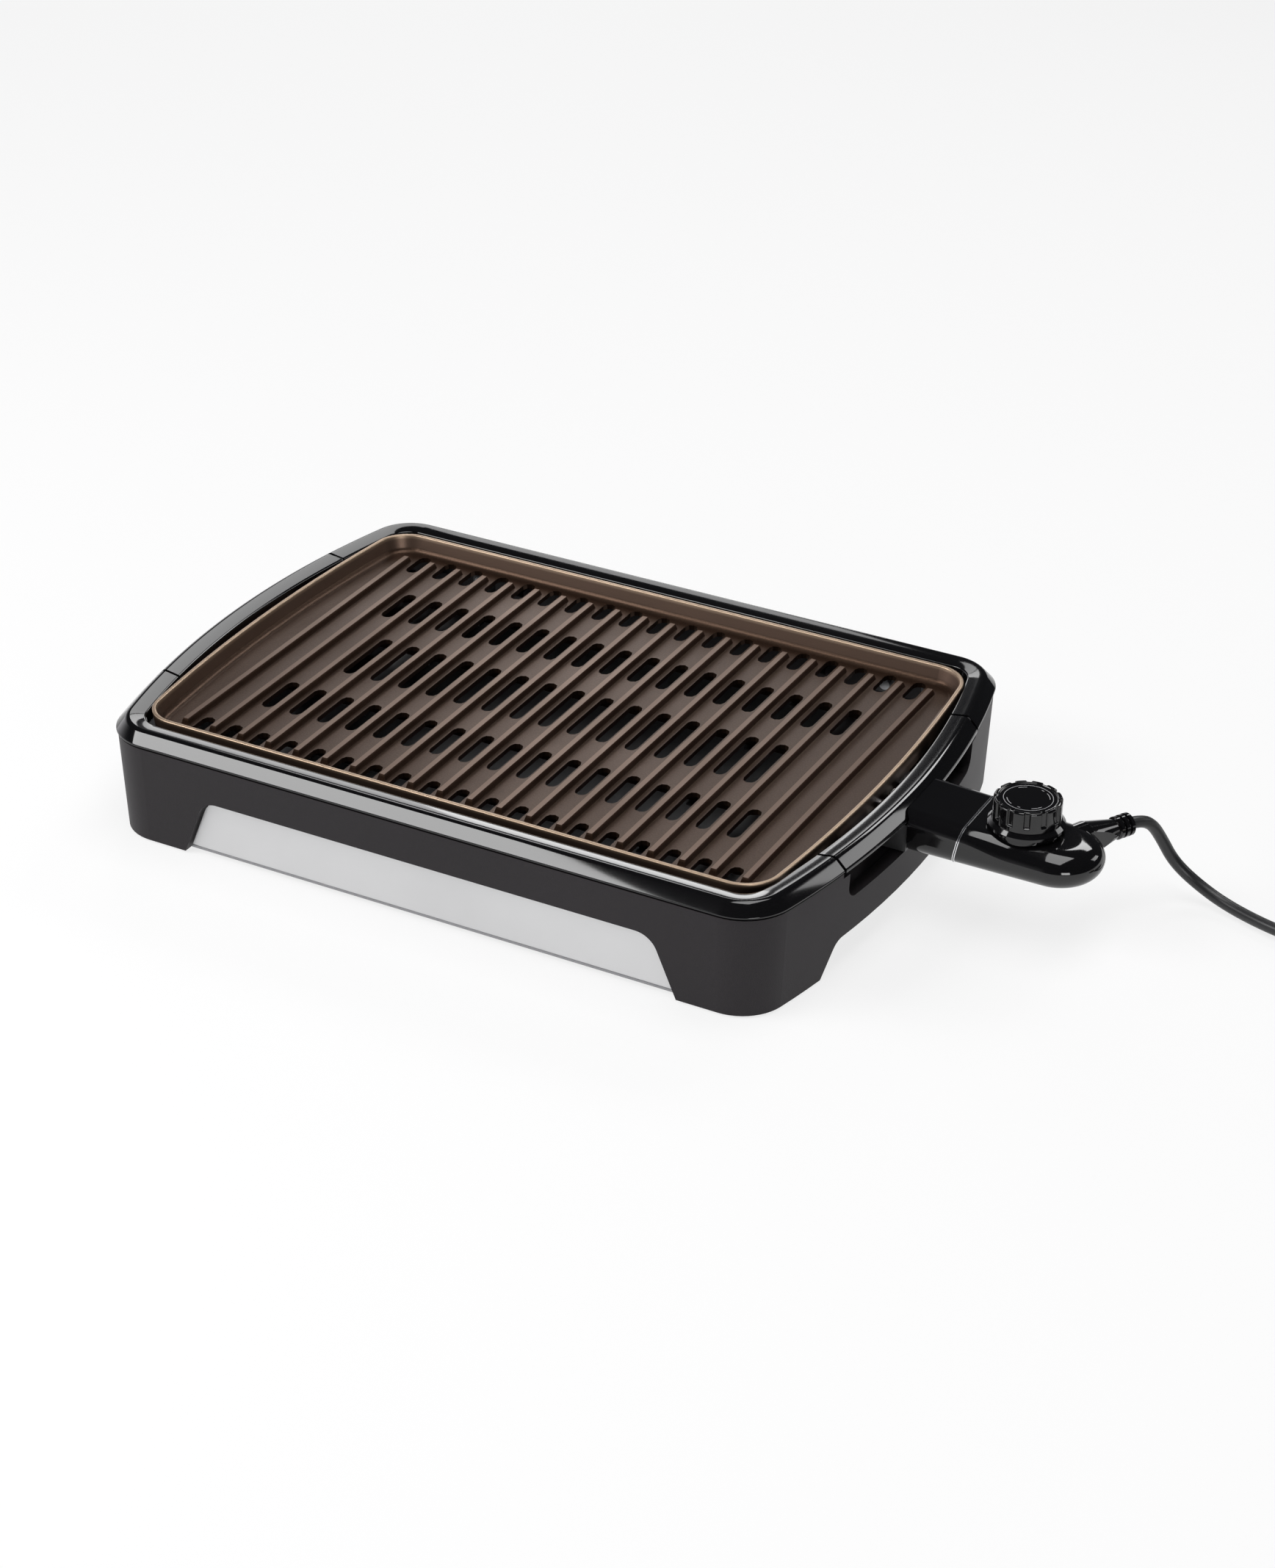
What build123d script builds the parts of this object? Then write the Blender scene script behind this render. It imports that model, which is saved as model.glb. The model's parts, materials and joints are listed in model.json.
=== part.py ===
from build123d import *
import math
import os

os.makedirs("parts", exist_ok=True)

# Lengths in millimetres, worked out around the middle of the base, which stands on z = 0.
clear = 0.3  # between pieces that move against each other
snug = 0.15  # between pieces of one body that slip together
sheet = 1.0  # folded sheet of the tray and the drip guides

# Rim ridge: straight front and back, bowed short sides.
ridge_x, ridge_y, ridge_z = 225.0, 155.2, 71.6
side_bow, ridge_corner = 21.7, 25.0
rim_out = 6.5  # lower outer edge of the rim, outside the ridge
rim_in = 11.0  # inner edge of the rim, inside the ridge
rim_mid = 3.3  # middle of the hollow under the rim, inside the ridge
handle_y, seam = 88.0, 2.0  # half length of a handle, gap to the rim pieces

# Base housing.
foot_z, wall_top, wall = 1.0, 62.4, 3.0
foot_grow, top_grow = 3.0, 5.6  # wall outside the ridge outline, at the foot and at the top
flange_t, flange_in = 3.0, 9.0
border, return_depth = 2.4, 8.0  # stiffened border around the arches
arch_top, arch_x_top, arch_x_foot, arch_r = 38.5, 144.0, 159.5, 14.0
low_arch_top, low_arch_r = 20.0, 10.0
side_arch_top_y, side_arch_foot_y = 90.0, 104.0
notch_z, notch_y, notch_r = 42.2, 82.5, 8.0
pad_x, pad_y, pad_r = 184.0, 130.0, 8.0
rest_x, rest_y, rest_top = 104.5, 133.0, 56.0

# Grill plate: lip centre line, floor and pattern.
plate_x, plate_y, plate_bow, plate_corner = 206.5, 138.9, 9.0, 21.0
lip_z, lip_half, floor_z, under_z = 71.4, 1.2, 61.0, 58.0
wall_draft, floor_r = 3.5, 4.0
pitch = 19.0
rib_count, rib_base, rib_top, rib_high, rib_y = 20, 5.2, 3.2, 3.5, 122.0
slot_w = 8.0
slot_rows = ((119.5, 23.0, 9), (65.5, 34.0, 8), (0.0, 49.0, 7))  # row middle, length, last column

# Heating element, terminals and sensor under the plate.
element_d, element_r = 6.6, 14.0
element_z = under_z - 0.1 - element_d / 2
element_route = [(205.5, 13), (178, 13), (178, 95), (-172, 95), (-172, 36), (150, 36)]
channel_w, channel_high, groove_w = 11.8, 7.0, 7.0
strap_at = [(-110, 95), (0, 95), (110, 95), (-110, 36), (0, 36), (110, 36)]
strap_t = 1.2
pin_y, pin_d, pin_end = 13.0, 4.8, 248.0
ceramic_d, ceramic_x = 7.6, (206.3, 214.0)
sensor_d, sensor_x = 4.8, (164.0, 240.0)
sleeve_x, sleeve_half = (158.0, 205.0), 6.5
guard_x, guard_y, guard_z, guard_t = (209.0, 230.5), 23.0, (43.2, 60.2), 1.5
flange_x, flange_y, guard_boss = (187.5, 211.0), 36.0, (192.0, 29.0)
bracket_y, bracket_w, bracket_t = 60.0, 14.0, 1.5
plate_boss_x, plate_boss_z, boss_r, post_r = 195.0, 54.0, 4.5, 3.9
post_top, post_hole, boss_hole = 69.2, 5.0, 3.0

# Drip tray and what carries it.
panel_y, panel_t, panel_gap, panel_fold, panel_foot = -154.5, 1.2, 1.2, 6.0, 2.8
hem_high, hem_proud = 1.4, 0.35
pan_x, pan_rear, pan_front, pan_r = 127.0, 128.0, -148.5, 12.0
pan_top, pan_floor, pan_draft, pan_flange = 34.0, 8.0, 6.0, 4.0
rail_y, rail_t, rail_lip, rail_top = 148.0, 1.5, 3.4, 37.5
rail_tab, rail_boss = (39.5, 52.0), (141.0, 46.0)
guide_in, guide_out, guide_tab = (122.0, 39.0), (200.0, 46.0), (172.0, 52.0)
guide_y, guide_lip, guide_end, ear_half = 136.0, 2.5, 4.0, 8.0

# Temperature control, plugged in from the right: one smooth bar, cut by a leaning bright ring.
grip_gap = 0.6  # between the control's nose and the handle that it meets
nose_x, ring_x, ring_t, ring_lean = ridge_x + rim_out + 0.5, 258.0, 1.5, 0.2
body_end, ctl_half, ctl_low, ctl_split, ctl_wall = 337.0, 25.8, 43.0, 48.5, 2.2
ctl_top, ctl_end_top = 68.8, 63.0  # top of the bar at the handle and at the far end
ctl_shoulder, ctl_keel = 9.0, 10.0
ring_proud, ring_deep = 0.35, 4.0
ctl_bolts = [(270.0, -ctl_half / 2), (270.0, ctl_half / 2), (319.0, -ctl_half / 3)]
ctl_screw = 8.0
heater_x, heater_half = (276.0, 309.0), 12.5
tube_d, tube_x = 8.0, (233.0, 252.0)
knob_x, skirt_d, cap_d, cap_top = 291.5, 43.0, 38.0, 84.0
skirt_z, skirt_slope, seat_d = (67.6, 71.2), 2.0, 38.0
flute_count, flute_w, flute_deep, flute_turn = 12, 3.6, 1.3, -9.0
dish_r, dish_deep, cap_wall, hub_r, cap_roof = 16.2, 0.6, 3.5, 5.5, 4.0
spindle_d, spindle_z = 6.0, (60.3, 78.0)
lens = [(317.2, 6.3), (322.9, 7.4), (321.6, 1.8)]
lens_deep, lens_proud = 1.6, 0.25
boot_end, boot_heading, boot_length, boot_flat = (333.45, 48.8, 54.0), 61.0, 39.0, 6.7
screw_d, head_d, head_high = 3.4, 7.0, 2.4

# Lead: Ø7, falls from the strain relief to the table and ends in a tied coil beside the plug.
lead_d = 7.0
lead_runs = [  # heading and fall in degrees, length of each straight run
    (61, 4, 8), (58, 28, 10), (50, 57, 13), (34, 62, 17), (10, 41, 17), (-8, 16.6, 22),
]
table_z = lead_d / 2 + 0.1
coil_z, coil_layer, coil_pitch, coil_turns, coil_out = 4.6, 8.2, 7.7, 4.0, 42.5
coil_heading = -8.0
tie_t, tie_w, tie_gap, tie_turn = 0.8, 7.0, 0.25, 0.35
plug_neck, plug_half, plug_high, plug_long, plug_root = 34.0, 23.5, 22.0, 48.0, 11.0
blades = [  # three flat pins: place along and across the plug, thickness, width, reach
    (52.0, -11.1, 4.0, 6.3, 17.7), (52.0, 11.1, 4.0, 6.3, 17.7), (74.2, 0.0, 8.0, 4.0, 22.7),
]

frame_x = (body_end - ridge_x - rim_out) / 2  # middle of the length of all but the lead
far = 400.0  # longer than any cut
nodes = {}


def bowed(half_x, half_y, bow, corner, grow):
    big = (half_y**2 + bow**2) / (2 * bow)
    face = Rectangle(2 * (half_x + grow) + 20, 2 * (half_y + grow))
    for side in (-1, 1):
        face &= Pos(side * (half_x - big), 0) * Circle(big + grow)
    return fillet(face.vertices(), corner + grow)


def body_outline(grow):
    return bowed(ridge_x, ridge_y, side_bow, ridge_corner, grow)


def plate_outline(grow):
    return bowed(plate_x, plate_y, plate_bow, plate_corner, grow)


def drafted(outline, low, high):
    return loft([Pos(0, 0, z) * outline(grow) for z, grow in (low, high)], ruled=True)


def prism(face, low, high):
    return Pos(0, 0, low) * extrude(face, high - low)


def block(x, y, z):
    size = [high - low for low, high in (x, y, z)]
    return Pos(x[0], y[0], z[0]) * Box(*size, align=(Align.MIN,) * 3)


def rod(start, direction, length, diameter):
    return extrude(Plane(origin=start, z_dir=direction) * Circle(diameter / 2), length)


def profile(points, rounds=()):
    face = Polygon(*points, align=None)
    for x, y, radius in rounds:
        face = fillet(face.vertices().sort_by_distance((x, y))[0], radius)
    return face


def ring(section, outline):
    path = outline.wire()
    start, along = path @ 0, path % 0
    out = along.cross(Vector(0, 0, 1))
    turn = -1 if out.dot(start) > 0 else 1
    here = Plane(origin=start, x_dir=out * -turn, z_dir=along * turn)
    return sweep(here * section, path=path)


def on_ridge(y, inside):
    big = (ridge_y**2 + side_bow**2) / (2 * side_bow)
    lean = math.asin(y / big)
    return ridge_x - big + (big - inside) * math.cos(lean), (big - inside) * math.sin(lean)


def screw(x, y, z, length, direction):
    upright = (Align.CENTER, Align.CENTER, Align.MIN)
    head = Pos(0, 0, -head_high) * Cylinder(head_d / 2, head_high, align=upright)
    shank = Cylinder(screw_d / 2, length, align=upright)
    return Plane(origin=(x, y, z), z_dir=direction) * (head + shank)


def group(solids):
    return Compound(children=list(solids))


# Base housing: drafted wall with four arches and two finger notches, on four closed legs.
def wall_grow(z):
    return foot_grow + (top_grow - foot_grow) * (z - foot_z) / (wall_top - foot_z)


def wall_body(inset, low, high):
    return drafted(body_outline, (low, wall_grow(low) - inset), (high, wall_grow(high) - inset))


def arch(top, half_top, half_foot, corner):
    drop = 2 * foot_z
    lean = (half_foot - half_top) / top
    half_low = half_foot + lean * drop
    points = [(-half_low, -drop), (half_low, -drop), (half_top, top), (-half_top, top)]
    return profile(points, [(half_top, top, corner), (-half_top, top, corner)])


front_arch = arch(arch_top, arch_x_top, arch_x_foot, arch_r)
rear_arch = arch(low_arch_top, arch_x_foot - low_arch_top * 0.4, arch_x_foot, low_arch_r)
side_arch = arch(low_arch_top, side_arch_top_y, side_arch_foot_y, low_arch_r)
step_z = wall_top - flange_t - snug
step_y = handle_y + seam / 2
notch = profile(
    [(-notch_y, notch_z), (notch_y, notch_z), (notch_y, step_z), (step_y, step_z),
     (step_y, far), (-step_y, far), (-step_y, step_z), (-notch_y, step_z)],
    [(-notch_y, notch_z, notch_r), (notch_y, notch_z, notch_r)],
)
cuts = [
    (Plane.XZ, front_arch, 1), (Plane.XZ, rear_arch, -1), (Plane.YZ, side_arch, 1),
    (Plane.YZ, side_arch, -1), (Plane.YZ, notch, 1), (Plane.YZ, notch, -1),
]
whole = wall_body(0, foot_z, wall_top)
thick = whole - wall_body(return_depth, 0, wall_top + 1)
housing = whole - wall_body(wall, 0, wall_top + 1)
flange = body_outline(top_grow - wall / 2) - body_outline(-flange_in)
housing += prism(flange, wall_top - flange_t, wall_top)
for plane, face, way in cuts:
    housing += extrude(plane * offset(face, border), way * far) & thick
for plane, face, way in cuts:
    housing -= extrude(plane * face, way * far)

corner_boxes = Part()
for sx in (-1, 1):
    for sy in (-1, 1):
        side_x = sorted((sx * (arch_x_foot + 1), sx * far))
        side_y = sorted((sy * (side_arch_foot_y + 1), sy * far))
        corner_boxes += block(side_x, side_y, (foot_z, foot_z + wall))
sole = wall_body(wall / 2, foot_z, foot_z + wall) & corner_boxes
feet = [(sx * pad_x, sy * pad_y) for sx in (-1, 1) for sy in (-1, 1)]
for x, y in feet:
    sole -= Pos(x, y, foot_z) * Cylinder(pad_r + snug, 2 * foot_z)
housing += sole

ledge_half = 5.0
ledge_points = [
    (rest_y - ledge_half, rest_top), (far, rest_top), (far, arch_top - 8.5),
    (rest_y + 22, rest_top - 12), (rest_y - ledge_half, rest_top - 4),
]
rear_ledge = extrude(Plane.YZ * profile(ledge_points), ledge_half, both=True)
lining = wall_body(wall / 2, 35, wall_top)
for side in (-1, 1):
    for ledge in (rear_ledge, mirror(rear_ledge, about=Plane.XZ)):
        housing += (Pos(side * rest_x, 0, 0) * ledge) & lining
    for sy in (-1, 1):
        for x, z in (rail_boss, guide_tab):
            start = (side * x, sy * rail_y, z)
            housing += rod(start, (0, sy, 0), far, 2 * boss_r) & lining
            housing -= rod(start, (0, sy, 0), boss_r + 2, screw_d)

rim_bolts = {}
for sy in (-1, 1):
    end_x, end_y = on_ridge(sy * 104, rim_mid)
    rim_bolts[sy] = [(-end_x, end_y), (end_x, end_y)]
    rim_bolts[sy] += [(x, sy * (ridge_y - rim_mid)) for x in (-120, 0, 120)]
    for x, y in rim_bolts[sy]:
        housing -= rod((x, y, step_z), (0, 0, 1), far, screw_d)
nodes["base_housing"] = housing
nodes["foot_pads"] = group(prism(Pos(x, y) * Circle(pad_r), 0, 2 * foot_z) for x, y in feet)
nodes["plate_rest_pads"] = group(
    prism(Pos(x, y) * Circle(4), rest_top, under_z - clear)
    for x in (-rest_x, rest_x) for y in (-rest_y, rest_y)
)

# Rim: hollow channel with a sharp ridge, cut into a front and a rear piece and the two handles.
slope = [(0.7, ridge_z - 0.6), (rim_out - 0.4, 65.3)]  # outer band, which the control's nose follows
crown = [(-rim_in + 0.1, 69.2), (-rim_in + 0.9, 70.0), (-0.9, ridge_z - 0.1), (0, ridge_z)]
crown += slope + [(rim_out, 64.5)]
vault = [(2.0, 66.5), (-0.6, 69.2), (-8.6, 67.9)]
grip_z = 61.8
rim_foot = [(rim_out, 63.9), (4.2, 63.9), (4.2, wall_top), (2.0, wall_top)]
grip_foot = [(rim_out, 62.8), (rim_out - 0.4, 62.2), (5.4, grip_z), (3.4, grip_z), (2.4, 63.0)]
rim_face = profile([(-rim_in, wall_top)] + crown + rim_foot + vault + [(-8.6, wall_top)])
handle_face = profile([(-rim_in, grip_z)] + crown + grip_foot + vault + [(-8.6, grip_z)])
rim_ring = ring(rim_face, body_outline(0))
handle_ring = ring(handle_face, body_outline(0))


def post(x, y, low, high, depth):
    solid = prism(Pos(x, y) * Circle(post_r), low, high)
    return solid - prism(Pos(x, y) * Circle(screw_d / 2), low, low + depth)


fixings = []
for name, sy in (("rim_front", -1), ("rim_rear", 1)):
    nodes[name] = rim_ring & block((-far, far), sorted((sy * (handle_y + seam), sy * far)), (0, far))
    for x, y in rim_bolts[sy]:
        nodes[name] += post(x, y, wall_top, post_top, post_hole)
        fixings.append(screw(x, y, wall_top - flange_t, flange_t + post_hole, (0, 0, 1)))
nodes["rim_screws"] = group(fixings)

# Grill plate: lip, drafted recess, ribs, drain slots, element channel and bosses underneath.
recess = drafted(plate_outline, (floor_z, -lip_half - wall_draft), (lip_z, -lip_half))
recess = fillet(recess.faces().sort_by(Axis.Z)[0].edges(), floor_r)
plate = drafted(plate_outline, (under_z, lip_half - 1.8), (lip_z, lip_half)) - recess
plate = fillet(plate.faces().sort_by(Axis.Z)[-1].edges(), 0.8)
rib_lean = math.degrees(math.atan2((rib_base - rib_top) / 2, rib_high))
rib = extrude(Rectangle(rib_base, 2 * rib_y), rib_high, taper=rib_lean)
rib += prism(Rectangle(rib_base, 2 * rib_y), -0.5, 0)
plate += [Pos((k - (rib_count - 1) / 2) * pitch, 0, floor_z) * rib for k in range(rib_count)]
slots = []
for row_y, length, last in slot_rows:
    half, reach = slot_w / 2, (length - slot_w) / 2
    bends = [math.radians(45 * k) for k in range(5)]
    end = [(half * math.cos(turn), reach + half * math.sin(turn)) for turn in bends]
    slot = prism(profile(end + [(-x, -y) for x, y in end]), under_z - 1, floor_z + 1)
    for y in sorted({row_y, -row_y}):
        slots += [Pos(k * pitch, y, 0) * slot for k in range(-last, last + 1)]
plate -= slots

mirrored = [(x, -y) for x, y in reversed(element_route)]
element_corners = [(x, y, element_z) for x, y in element_route + mirrored]
element_path = FilletPolyline(*element_corners, radius=element_r)
element_start = Plane(origin=element_path @ 0, x_dir=(0, 1, 0), z_dir=element_path % 0)


def along_element(width, low, high):
    turn = 1 if element_start.y_dir.Z > 0 else -1
    face = Pos(0, turn * ((low + high) / 2 - element_z)) * Rectangle(width, high - low)
    return sweep(element_start * face, path=element_path)


plate += along_element(channel_w, under_z - channel_high, under_z + 0.5)
plate -= along_element(groove_w, under_z - channel_high - 1, under_z)
sleeve_z = (element_z - sensor_d, under_z + 0.5)
plate += block(sleeve_x, (-sleeve_half, sleeve_half), sleeve_z)
plate -= rod((sensor_x[0] - 2, 0, element_z), (1, 0, 0), far, sensor_d + 2 * clear)
plate_bosses = [(sx * plate_boss_x, sy * bracket_y) for sx in (-1, 1) for sy in (-1, 1)]
guard_bosses = [(guard_boss[0], sy * guard_boss[1]) for sy in (-1, 1)]
for x, y in plate_bosses:
    plate += post(x, y, plate_boss_z, under_z + 0.5, boss_hole)
for x, y in guard_bosses:
    plate -= rod((x, y, under_z - 0.5), (0, 0, 1), 2.0, screw_d)
nodes["grill_plate"] = plate

nodes["heating_element"] = sweep(element_start * Circle(element_d / 2), path=element_path)
strap_z = under_z - channel_high
nodes["element_straps"] = group(
    block((x - 4, x + 4), (sy * y - 10, sy * y + 10), (strap_z - strap_t, strap_z))
    for x, y in strap_at for sy in (-1, 1)
)
pins = [(x, sy * pin_y, element_z) for x in (element_route[0][0],) for sy in (-1, 1)]
nodes["terminal_pins"] = group(rod(start, (1, 0, 0), pin_end - start[0], pin_d) for start in pins)
nodes["pin_insulators"] = group(
    rod((ceramic_x[0], y, z), (1, 0, 0), ceramic_x[1] - ceramic_x[0], ceramic_d)
    - rod((0, y, z), (1, 0, 0), far, pin_d)
    for _, y, z in pins
)

# Inlet guard: open sheet box around the terminals, hung from two flanges under the plate.
guard = block(guard_x, (-guard_y, guard_y), guard_z)
inside_y, inside_z = guard_y - guard_t, (guard_z[0] + guard_t, guard_z[1] - guard_t)
guard -= block((0, far), (-inside_y, inside_y), inside_z)
flange_z = (under_z - guard_t, under_z)
for sy in (-1, 1):
    guard += block(flange_x, sorted((sy * inside_y, sy * flange_y)), flange_z)
for x, y in guard_bosses:
    guard -= rod((x, y, 0), (0, 0, 1), far, screw_d)
nodes["inlet_guard"] = guard
nodes["guard_screws"] = group(
    screw(x, y, flange_z[0], 2 * guard_t, (0, 0, 1)) for x, y in guard_bosses
)

# Handles on bent strips that run from bosses under the plate.
grip_x, grip_y = on_ridge(bracket_y, rim_mid)
low_z, high_z = plate_boss_z - bracket_t, grip_z - bracket_t
strip_line = [
    (plate_boss_x - bracket_w / 2, low_z), (plate_boss_x + 9.5, low_z),
    (plate_boss_x + 15.5, high_z), (grip_x + 5, high_z),
]
strip_face = profile(strip_line + [(x, z + bracket_t) for x, z in reversed(strip_line)])
strip = extrude(Plane.XZ * strip_face, bracket_w / 2, both=True)
fixings = []
for name, side in (("left", -1), ("right", 1)):
    handle = handle_ring & block(sorted((0, side * far)), (-handle_y, handle_y), (0, far))
    strips = []
    for sy in (-1, 1):
        handle += post(side * grip_x, sy * grip_y, grip_z, post_top, post_hole)
        piece = Pos(0, sy * bracket_y, 0) * (strip if side > 0 else mirror(strip, about=Plane.YZ))
        for x, y in ((plate_boss_x, bracket_y), (grip_x, grip_y)):
            piece -= rod((side * x, sy * y, 0), (0, 0, 1), far, screw_d)
        strips.append(piece)
        for x, y, z, depth in (
            (plate_boss_x, bracket_y, low_z, boss_hole), (grip_x, grip_y, high_z, post_hole)
        ):
            fixings.append(screw(side * x, sy * y, z, bracket_t + depth, (0, 0, 1)))
    nodes["handle_" + name] = handle
    nodes["handle_brackets_" + name] = group(strips)
nodes["bracket_screws"] = group(fixings)

# Drip tray: pressed pan with a flange, and the folded front panel that fills the front arch.
pan_mid, pan_long = (pan_rear + pan_front) / 2, pan_rear - pan_front


def pan_outline(grow):
    return Pos(0, pan_mid) * RectangleRounded(2 * (pan_x + grow), pan_long + 2 * grow, pan_r + grow)


floor_in = -pan_draft * (1 - sheet / (pan_top - pan_floor)) - sheet
hollow = drafted(pan_outline, (pan_floor + sheet, floor_in), (pan_top, -sheet))
panel_back = panel_y + panel_t
brim_x, brim_y = pan_x + pan_flange, (panel_back, pan_rear + pan_flange)
brim = block((-brim_x, brim_x), brim_y, (pan_top - sheet, pan_top))
brim = fillet(brim.edges().filter_by(Axis.Z).group_by(Axis.Y)[-1], pan_r)
nodes["drip_tray_pan"] = drafted(pan_outline, (pan_floor, -pan_draft), (pan_top, 0)) + brim - hollow
face = offset(front_arch, -panel_gap) & Pos(0, far / 2 + panel_foot) * Rectangle(far, far)
front = Plane(origin=(0, panel_y, 0), x_dir=(1, 0, 0), z_dir=(0, -1, 0))
hem = face & Pos(0, panel_foot) * Rectangle(far, 2 * hem_high)
nodes["drip_tray_front"] = (
    extrude(front * face, -panel_t)
    + extrude(front * (face - offset(face, -panel_t)), -panel_fold)
    + extrude(front * hem, hem_proud)
)

# Tray runners and drip guides, screwed to bosses on the front and rear walls.
rail_in, rail_web = pan_x + pan_flange - rail_lip, pan_x + pan_flange + 0.8
rest = pan_top - sheet - clear
rail_out = rail_web + rail_t
rail_face = profile([
    (rail_in, rest - rail_t), (rail_out, rest - rail_t), (rail_out, rail_top), (rail_in, rail_top),
    (rail_in, rail_top - rail_t), (rail_web, rail_top - rail_t), (rail_web, rest), (rail_in, rest),
])
rail = extrude(Plane.XZ * rail_face, rail_y, both=True)
(in_x, in_z), (out_x, out_z) = guide_in, guide_out
guide_face = profile([
    guide_in, guide_out, (out_x + sheet, out_z), (out_x + sheet, out_z + guide_lip),
    (out_x, out_z + guide_lip), (out_x, out_z + sheet), (in_x, in_z + sheet),
])
ear = (guide_tab[0] - ear_half, guide_tab[0] + ear_half)
guide = extrude(Plane.XZ * guide_face, rail_y, both=True)
guide &= block((0, far), (-guide_y, guide_y), (0, far)) + block(ear, (-rail_y, rail_y), (0, far))
end_face = profile([guide_in, guide_out, (out_x, out_z + guide_lip), (in_x, in_z + guide_end)])
end_plate = Pos(0, guide_y, 0) * extrude(Plane.XZ * end_face, sheet)
ear_plate = block(ear, (rail_y - sheet, rail_y), (out_z - 2, guide_tab[1] + boss_r + 0.5))
for sy in (-1, 1):
    web_y, tab_y = (sorted((sy * (rail_y - deep), sy * rail_y)) for deep in (10.0, rail_t))
    lug = block((rail_web, rail_out), web_y, (rail_top, rail_tab[1]))
    lug += block((rail_web, rail_boss[0] + 6), tab_y, rail_tab)
    rail += lug - rod((rail_boss[0], 0, rail_boss[1]), (0, sy, 0), far, screw_d)
    flip = end_plate + ear_plate - rod((guide_tab[0], 0, guide_tab[1]), (0, 1, 0), far, screw_d)
    guide += flip if sy > 0 else mirror(flip, about=Plane.XZ)
nodes["tray_rail_right"], nodes["tray_rail_left"] = rail, mirror(rail, about=Plane.YZ)
nodes["drip_guide_right"], nodes["drip_guide_left"] = guide, mirror(guide, about=Plane.YZ)
shelf_fixings = ((*rail_boss, rail_t), (*guide_tab, sheet))
nodes["shelf_screws"] = group(
    screw(side * x, sy * (rail_y - t), z, boss_r + 2.5, (0, sy, 0))
    for side in (-1, 1) for sy in (-1, 1) for x, z, t in shelf_fixings
)


# Temperature control: nose with contacts, bright ring, hollow body split into base and cover.
def top_at(x):
    return ctl_top + (ctl_end_top - ctl_top) * (x - ridge_x) / (body_end - ridge_x)


def ctl_bar(inset):
    half, middle, start = ctl_half - inset, body_end - ctl_half, ridge_x - rim_in
    plan = Pos(middle, 0) * Circle(half)
    plan += Pos((start + middle) / 2, 0) * Rectangle(middle - start, 2 * half)
    low, ends = ctl_low + inset, [(x, top_at(x) - inset) for x in (far, 0)]
    side = profile([(0, low), (far, low)] + ends)
    solid = prism(plan, 0, far) & extrude(Plane.XZ * side, far, both=True)
    for last, radius in ((-1, ctl_shoulder), (0, ctl_keel)):
        loop = solid.faces().sort_by(Axis.Z)[last].edges()
        edges = [edge for edge in loop if edge.center().X > start + 1]
        solid = fillet(edges, radius - inset)
    return solid


def ring_at(z):
    return ring_x + ring_lean * (z - ctl_low)


def ctl_cut(low_x, points):
    high = 2 * ctl_top
    face = profile([(low_x + ring_at(0) - ring_x, 0)] + points + [(low_x + ring_at(high) - ring_x, high)])
    return extrude(Plane.XZ * face, far, both=True)


bar = ctl_bar(0)
boot_way = Vector(math.cos(math.radians(boot_heading)), math.sin(math.radians(boot_heading)), 0)
boot_root = Vector(*boot_end) - boot_way * boot_length
boot_points = [(0, 0), (10.0, 0), (10.2, 8.0), (5.6, boot_length - 10.5)]
for rib_at in (10.0, 6.3, 2.6):
    rib_low = boot_length - rib_at
    boot_points += [(6.65, rib_low), (6.65, rib_low + 2.0), (5.2, rib_low + 2.3), (5.2, rib_low + 3.4)]
boot_points = boot_points[:-2] + [(5.4, boot_length), (0, boot_length)]
boot = revolve(Plane.XZ * profile(boot_points), Axis.Z)
boot_sides = block((boot_flat, far), (-far, far), (-1, boot_length - 10.5))
boot -= boot_sides + mirror(boot_sides, about=Plane.YZ)
boot = Plane(origin=boot_root, x_dir=boot_way.cross(Vector(0, 0, 1)), z_dir=boot_way) * boot

beyond = [(far, 0), (far, 2 * ctl_top)]
outer = bar & ctl_cut(ring_x + ring_t, beyond)
cavity = ctl_bar(ctl_wall) & ctl_cut(ring_x + ring_t + ctl_wall, beyond)
low_half = block((0, far), (-far, far), (0, ctl_split))
lower, upper = (outer - cavity) & low_half, (outer - cavity) - low_half
head_z = ctl_low + head_high + clear
hole_top = head_z + ctl_screw + clear
for x, y in ctl_bolts:
    boss = Pos(x, y) * Circle(boss_r)
    hole = rod((x, y, 0), (0, 0, 1), hole_top, screw_d)
    lower += prism(boss, 0, ctl_split) & outer
    lower -= prism(Pos(x, y) * Circle(head_d / 2 + snug), 0, head_z) + hole
    upper += (prism(boss, ctl_split, far) & outer) - hole
seat = prism(Pos(knob_x, 0) * Circle(seat_d / 2), top_at(knob_x) - ctl_wall, skirt_z[0] - clear)
upper += seat - cavity
upper -= rod((knob_x, 0, 0), (0, 0, 1), far, spindle_d + 2 * clear)
lens_top = top_at(lens[0][0]) + lens_proud
lens_solid = prism(fillet(profile(lens).vertices(), 0.8), lens_top - lens_deep, lens_top)
nodes["control_base"] = lower - boot
nodes["control_cover"] = upper - boot - lens_solid
nodes["pointer_lens"] = lens_solid
nodes["cord_boot"] = boot
nodes["control_screws"] = group(screw(x, y, head_z, ctl_screw, (0, 0, 1)) for x, y in ctl_bolts)
band = [(ring_at(z) + ring_t, z) for z in (0, 2 * ctl_top)]
nodes["control_ring"] = (ctl_bar(-ring_proud) - ctl_bar(ring_deep)) & ctl_cut(ring_x, band)
(top_out, top_z), (foot_out, foot_z_out) = slope
fall = (foot_out - top_out) / (top_z - foot_z_out)
meet = ridge_x + foot_out + grip_gap * math.hypot(1, fall)  # nose parallel to the handle's outer band
bend_z = foot_z_out + (meet - nose_x) / fall
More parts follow.
